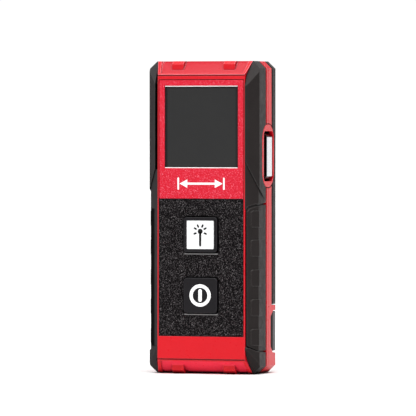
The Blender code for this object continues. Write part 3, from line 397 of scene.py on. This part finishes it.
def lens_glass():
    s = Shader("lens_glass").set(
        Roughness=0.04, Transmission_Weight=0.85, IOR=1.5, Coat_Weight=0.6, Coat_Roughness=0.03)
    s.colour(s.ramp(s.noise(30.0, 1.0), (0.3, (0.30, 0.22, 0.42)), (0.7, (0.22, 0.26, 0.46))))
    s.rough(s.spread(s.noise(500.0, 2.0), 0.03, 0.07))
    s.bump(s.noise(300.0, 1.0), 0.000001, 0.2)
    return s.material


def circuit_board():
    s = Shader("circuit_board").set(Roughness=0.4, Specular_IOR_Level=0.5)
    lanes = s.cell_borders(420.0)
    mask = s.ramp(lanes, (0.05, 1.0), (0.09, 0.0))
    s.colour(s.mix(mask, (0.012, 0.115, 0.045), (0.035, 0.21, 0.075)))
    s.rough(s.spread(s.noise(900.0, 2.0), 0.34, 0.46))
    s.bump(mask, 0.00004, 0.5)
    return s.material


def cell_sleeve():
    """A dry cell's plain sleeve: dark for most of its length, and copper-coloured above."""
    s = Shader("cell_sleeve").set(Roughness=0.28, Specular_IOR_Level=0.5)
    height = s.spread(s.axis("Z"), 0.0, 1.0, 0.0, CELL_SPAN)
    dark, copper = (0.05, 0.05, 0.055), (0.62, 0.33, 0.16)
    s.colour(s.ramp(height, (0.0, dark), (0.66, dark), (0.67, copper), (1.0, copper)))
    s.rough(s.spread(s.noise(400.0, 3.0), 0.22, 0.34))
    s.bump(s.noise(1200.0, 2.0), 0.000006, 0.4)
    return s.material


MATERIALS = {
    "red_shell": red_shell(),
    "red_texture": red_texture(),
    "grip_rubber": rubber("grip_rubber", (0.0150, 0.0118, 0.0115), (0.070, 0.064, 0.063), 0.46, 0.11),
    "key_rubber": rubber("key_rubber", (0.0130, 0.0118, 0.0135), (0.060, 0.058, 0.062), 0.40, 0.08, 5200.0),
    "black_texture": black_texture(),
    "display_glass": display_glass(),
    "white_plastic": plain_plastic("white_plastic", (0.82, 0.825, 0.83), 0.32),
    "label_film": plain_plastic("label_film", (0.035, 0.035, 0.036), 0.45, 0.3, 1800.0, 0.00001),
    "door_plastic": plain_plastic("door_plastic", (0.085, 0.081, 0.084), 0.48, 0.35, 2600.0, 0.00003),
    "steel": brushed_steel(),
    "lcd_glass": plain_plastic("lcd_glass", (0.16, 0.17, 0.15), 0.2),
    "black_plastic": plain_plastic("black_plastic", (0.022, 0.022, 0.023), 0.46, 0.35, 3000.0, 0.00002),
    "circuit_board": circuit_board(),
    "silicone": plain_plastic("silicone", (0.34, 0.34, 0.35), 0.6),
    "brass": brass(),
    "lens_glass": lens_glass(),
    "cell_sleeve": cell_sleeve(),
}
NODE_MATERIALS = {
    "lanyard_pocket": pocket_shell(),
    "lanyard_bar": bar_steel(),
    # Painted light: the left grip's rubber is painted paler than the right grip's, standing in for the light
    # on that side.
    "front_grip_left": rubber(
        "lit_left_grip_rubber", (0.038, 0.0355, 0.036), (0.085, 0.080, 0.080), 0.55, 0.01, shaded_cheek=True),
    # Painted shade: the door pulls are painted near black, for the deep shade they sit in.
    "door_pull_right": rubber("shaded_pull_rubber", (0.0012, 0.001, 0.001), (0.02, 0.02, 0.02), 0.6, 0.15),
}
NODE_MATERIALS["door_pull_left"] = NODE_MATERIALS["door_pull_right"]
# A black for printed marks and for sheets of painted shade, and a white for printed marks and for strips of
# painted highlight.
PRINT_AND_SHADE_BLACK = plain_plastic("print_and_shade_black", (0.006, 0.006, 0.006), 0.5, 0.2)
PRINT_AND_HIGHLIGHT_WHITE = plain_plastic("print_and_highlight_white", (0.93, 0.93, 0.93), 0.4, 0.3)


# ------------------------------------------------------------------ the CAD nodes' finish

# How far each node's edges are rounded, in mm.
EDGE_ROUNDING = {
    "front_housing": 0.3, "rear_housing": 0.32, "front_grip_right": 0.32, "front_grip_left": 0.32,
    "rear_grip_right": 0.32, "rear_grip_left": 0.32, "display_bezel": 0.22, "keypad_panel": 0.22,
    "display_window": 0.1, "measure_button": 0.16, "power_button": 0.2, "measure_button_insert": 0.12,
    "battery_door": 0.25, "lanyard_pocket": 0.35, "lanyard_bar": 0.25, "optics_cover": 0.15,
    "door_pull_right": 0.2, "door_pull_left": 0.2, "rear_label": 0.05,
}
SMALL_ROUNDING = 0.08
slot_of = {part["node"]: part["material_slot"] for part in frame["record"]["subparts"]}


def round_edges(piece, width):
    """Joins the piece's facets into whole faces, then rounds its sharp edges."""
    weld = piece.modifiers.new("Weld", "WELD")
    weld.merge_threshold = 0.000002
    whole = piece.modifiers.new("Whole faces", "DECIMATE")
    whole.decimate_type = "DISSOLVE"
    whole.angle_limit = math.radians(0.5)
    rounding = piece.modifiers.new("Rounding", "BEVEL")
    rounding.limit_method = "ANGLE"
    rounding.angle_limit = math.radians(22)
    rounding.width = width * MM
    rounding.segments = 2
    rounding.use_clamp_overlap = True
    shading = piece.modifiers.new("Shading", "WEIGHTED_NORMAL")
    shading.weight = 80
    shading.keep_sharp = False


for node_name, node in nodes.items():
    node.data.materials.clear()
    node.data.materials.append(NODE_MATERIALS.get(node_name) or MATERIALS[slot_of[node_name]])
    round_edges(node, EDGE_ROUNDING.get(node_name, SMALL_ROUNDING))


# ------------------------------------------------------------------ printed marks, and sheets of painted shade and painted highlight

PRINT_PROUD = 0.01 * MM  # from a face out to the middle of a mark's thickness


def arc(centre, radius, start, stop, steps):
    """Points on an arc, in degrees from the first axis."""
    points = []
    for step in range(steps + 1):
        angle = math.radians(start + (stop - start) * step / steps)
        points.append((centre[0] + radius * math.cos(angle), centre[1] + radius * math.sin(angle)))
    return points


def capsule(start, end, width):
    """The outline of a bar with round ends."""
    along = math.degrees(math.atan2(end[1] - start[1], end[0] - start[0]))
    return arc(start, width / 2, along + 90, along + 270, 8) + arc(end, width / 2, along - 90, along + 90, 8)


def flat_sheet(name, outlines, front_y, body, material, thickness=0.05):
    """Flat outlines in x and z, facing -Y just proud of a face. A shape inside another is a hole."""
    curve = bpy.data.curves.new(name, "CURVE")
    curve.dimensions = "2D"
    curve.fill_mode = "BOTH"
    curve.extrude = thickness / 2 * MM
    curve.bevel_depth = 0.012 * MM
    curve.bevel_resolution = 1
    for outline in outlines:
        spline = curve.splines.new("POLY")
        spline.points.add(len(outline) - 1)
        for point, (x, z) in zip(spline.points, outline):
            point.co = (x * MM, z * MM, 0.0, 1.0)
        spline.use_cyclic_u = True
    source = bpy.data.objects.new(name + "_outline", curve)
    scene.collection.objects.link(source)
    graph = bpy.context.evaluated_depsgraph_get()
    mesh = bpy.data.meshes.new_from_object(source.evaluated_get(graph))
    bpy.data.objects.remove(source, do_unlink=True)
    turn = Matrix(((1, 0, 0), (0, 0, -1), (0, 1, 0))).to_4x4()
    mesh.transform(Matrix.Translation((0, front_y, 0)) @ turn)
    piece = bpy.data.objects.new(name, mesh)
    scene.collection.objects.link(piece)
    mesh.materials.clear()
    mesh.materials.append(material)
    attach(piece, body)


def measure_mark():
    """A laser spot on its beam, with six short rays."""
    low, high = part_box("measure_button_insert")
    middle_z = (low.z + high.z) / 2 / MM
    spot_z, spot_r = middle_z + 1.25, 0.92
    beam_foot, beam_width = middle_z - 3.75, 0.78
    ray_start, ray_end, ray_width = 1.75, 2.4, 0.6
    shapes = [
        arc((0.0, spot_z), spot_r, 0, 345, 23),
        capsule((0.0, spot_z - 0.5), (0.0, beam_foot), beam_width),
    ]
    for angle in (-22, 28, 66, 114, 152, 202):
        way = Vector((math.cos(math.radians(angle)), math.sin(math.radians(angle))))
        start, end = way * ray_start, way * ray_end
        shapes.append(capsule((start.x, spot_z + start.y), (end.x, spot_z + end.y), ray_width))
    for number, shape in enumerate(shapes, start=1):
        name = f"measure_mark_{number}"
        flat_sheet(name, [shape], low.y - PRINT_PROUD, "measure_key", PRINT_AND_SHADE_BLACK)


def power_mark():
    """A ring round an upright bar."""
    low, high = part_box("power_button")
    middle = (0.0, (low.z + high.z) / 2 / MM)
    outer_r, inner_r, bar_half, bar_width = 4.0, 2.78, 1.62, 1.3
    ring = [arc(middle, radius, 0, 352.5, 47) for radius in (outer_r, inner_r)]
    bar = [capsule((0.0, middle[1] - bar_half), (0.0, middle[1] + bar_half), bar_width)]
    for name, outlines in (("ring", ring), ("bar", bar)):
        flat_sheet("power_mark_" + name, outlines, low.y - PRINT_PROUD, "power_key", PRINT_AND_HIGHLIGHT_WHITE)


def distance_mark():
    """A plain sign for a measured distance: two end bars and an arrow with two heads."""
    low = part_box("display_bezel")[0]
    z = low.z / MM + 5.4
    half, tall, bar_width = 8.6, 1.9, 0.6
    head_long, head_tall, line = 2.9, 1.5, 0.36
    tip = half - 0.5
    neck = tip - head_long
    arrow = [
        (-tip, z), (-neck, z + head_tall), (-neck, z + line), (neck, z + line), (neck, z + head_tall),
        (tip, z), (neck, z - head_tall), (neck, z - line), (-neck, z - line), (-neck, z - head_tall),
    ]
    flat_sheet("distance_mark_arrow", [arrow], low.y - PRINT_PROUD, "root", PRINT_AND_HIGHLIGHT_WHITE)
    for name, x in (("left", -half), ("right", half)):
        bar = capsule((x, z - tall), (x, z + tall), bar_width)
        flat_sheet("distance_mark_" + name, [bar], low.y - PRINT_PROUD, "root", PRINT_AND_HIGHLIGHT_WHITE)


def rectangle(half, bottom, top):
    """A rectangle's corners, from -half to half in x."""
    return [(-half, bottom), (half, bottom), (half, top), (-half, top)]


def window_frame():
    """A black frame of painted shade round the display window, and strips of painted highlight on the lips
    above and below it.
    """
    low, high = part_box("display_window")
    x, foot, head = high.x / MM, low.z / MM, high.z / MM
    margin, shade_width, lip_half = 0.02, 0.38, 0.14
    shade_out, shade_thickness = 0.03 * MM, 0.12
    lip_out, lip_thickness = 0.24 * MM, 0.3
    half, bottom, top = x + margin, foot - margin, head + margin
    outer = rectangle(half, bottom, top)
    hole = rectangle(half - shade_width, bottom + shade_width, top - shade_width)
    # Painted shade: a black frame round the window.
    flat_sheet(
        "window_shade_frame", [outer, hole], low.y - shade_out, "root", PRINT_AND_SHADE_BLACK,
        shade_thickness)
    # Painted highlight: pale strips on the lips above and below the window.
    for name, z in (("head", head), ("foot", foot)):
        flat_sheet(
            "window_lip_highlight_" + name, [rectangle(x, z - lip_half, z + lip_half)], low.y - lip_out, "root",
            PRINT_AND_HIGHLIGHT_WHITE, lip_thickness)


def seam_shade_strips():
    """Dark strips of painted shade in the parting gap of the shells. They leave out the optics and the
    lanyard pocket.
    """
    housing_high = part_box("rear_housing")[1]
    pocket_low, pocket_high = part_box("lanyard_pocket")
    half_gap, thickness = 0.15 * MM, 0.24
    seam_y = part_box("front_housing")[1].y + half_gap
    outer, inner = housing_high.x / MM - 1.1, housing_high.x / MM - 3.4
    optics_x, pocket_room = 13.0, 0.5
    foot, head = 1.2, housing_high.z / MM - 1.2
    wall, corner = 1.9, 1.8
    lower_stop, upper_stop = pocket_low.z / MM - pocket_room, pocket_high.z / MM + pocket_room
    lower = [
        (optics_x, foot), (outer - corner, foot), (outer, foot + corner), (outer, lower_stop),
        (inner, lower_stop), (inner, foot + wall), (optics_x, foot + wall),
    ]
    upper = [
        (optics_x, head), (outer - corner, head), (outer, head - corner), (outer, upper_stop),
        (inner, upper_stop), (inner, head - wall), (optics_x, head - wall),
    ]
    whole = lower[:3] + upper[2::-1] + upper[:4:-1] + lower[5:]
    left = [(-x, z) for x, z in whole]
    for name, outline in (("left", left), ("right_lower", lower), ("right_upper", upper)):
        flat_sheet("seam_shade_" + name, [outline], seam_y, "root", PRINT_AND_SHADE_BLACK, thickness)


measure_mark()
power_mark()
distance_mark()
window_frame()
seam_shade_strips()


# ------------------------------------------------------------------ studio

YAW = math.radians(18.5)
CAMERA_DISTANCE = 1.763
CAMERA_HEIGHT = 0.0887
AIM_SIDEWAYS, AIM_HEIGHT = -0.00155, 0.05919
LENS, SENSOR = 423.4, 36.0
SUN_POWER, SUN_WIDTH, SUN_WAY = 3.2, 60, (-0.10, 0.38, -1.0)
HORIZON_END, HORIZON_LEVEL = 0.10, 1.03
UPPER_START, UPPER_LEVEL = 0.38, 0.25
FLOOR_SIZE, FLOOR_Z = 60.0, -0.0002


def camera():
    """The photo's viewing angle, from a long lens slightly above the meter's middle."""
    toward = Vector((math.sin(YAW), -math.cos(YAW), 0.0))
    right = Vector((math.cos(YAW), math.sin(YAW), 0.0))
    aim = right * AIM_SIDEWAYS + Vector((0, 0, AIM_HEIGHT))
    place = right * AIM_SIDEWAYS + toward * CAMERA_DISTANCE + Vector((0, 0, CAMERA_HEIGHT))
    data = bpy.data.cameras.new("camera")
    data.lens = LENS
    data.sensor_width = SENSOR
    data.clip_start = 0.05
    data.clip_end = 60.0
    made = bpy.data.objects.new("camera", data)
    made.location = place
    made.rotation_euler = (aim - place).to_track_quat("-Z", "Y").to_euler()
    scene.collection.objects.link(made)
    scene.camera = made


def softbox(name, place, aim, size, power):
    """A rectangular area light that points at aim."""
    data = bpy.data.lights.new(name, "AREA")
    data.shape = "RECTANGLE"
    data.size, data.size_y = size
    data.energy = power
    made = bpy.data.objects.new(name, data)
    made.location = place
    made.rotation_euler = (Vector(aim) - Vector(place)).to_track_quat("-Z", "Y").to_euler()
    scene.collection.objects.link(made)


def ceiling():
    """One broad, even light from above and slightly in front."""
    data = bpy.data.lights.new("ceiling", "SUN")
    data.energy = SUN_POWER
    data.angle = math.radians(SUN_WIDTH)
    made = bpy.data.objects.new("ceiling", data)
    made.rotation_euler = Vector(SUN_WAY).to_track_quat("-Z", "Y").to_euler()
    scene.collection.objects.link(made)


def white_room():
    """A world that is bright near the horizon and dimmer above."""
    world = bpy.data.worlds.new("studio")
    world.use_nodes = True
    tree = world.node_tree
    split = tree.nodes.new("ShaderNodeSeparateXYZ")
    tree.links.new(tree.nodes.new("ShaderNodeTexCoord").outputs["Generated"], split.inputs[0])
    height = tree.nodes.new("ShaderNodeMath")
    height.operation = "ABSOLUTE"
    tree.links.new(split.outputs["Z"], height.inputs[0])
    fall = tree.nodes.new("ShaderNodeValToRGB")
    fall.color_ramp.interpolation = "EASE"
    low, high = fall.color_ramp.elements
    low.position, low.color = HORIZON_END, (HORIZON_LEVEL, HORIZON_LEVEL, HORIZON_LEVEL, 1.0)
    high.position, high.color = UPPER_START, (UPPER_LEVEL, UPPER_LEVEL, UPPER_LEVEL, 1.0)
    tree.links.new(height.outputs["Value"], fall.inputs["Fac"])
    tree.links.new(fall.outputs["Color"], tree.nodes["Background"].inputs["Color"])
    scene.world = world


def studio():
    white_room()
    bpy.ops.mesh.primitive_plane_add(size=FLOOR_SIZE, location=(0, 0, FLOOR_Z))
    floor = bpy.context.active_object
    floor.name = "floor"
    pale = Shader("floor").set(Roughness=0.9, Specular_IOR_Level=0.1)
    pale.colour(pale.mix(pale.spread(pale.noise(3.0), 0.0, 1.0), (0.96, 0.96, 0.96), (0.94, 0.94, 0.94)))
    floor.data.materials.append(pale.material)
    ceiling()
    softbox("key", (0.75, -0.75, 0.35), (0.0, 0.0, 0.06), (0.35, 0.35), 1.9)
    softbox("overhead", (0.0, 0.0, 0.8), (0.0, 0.0, 0.1), (0.3, 0.3), 1.8)
    scene.view_settings.view_transform = "Standard"
    scene.view_settings.look = "None"


camera()
studio()
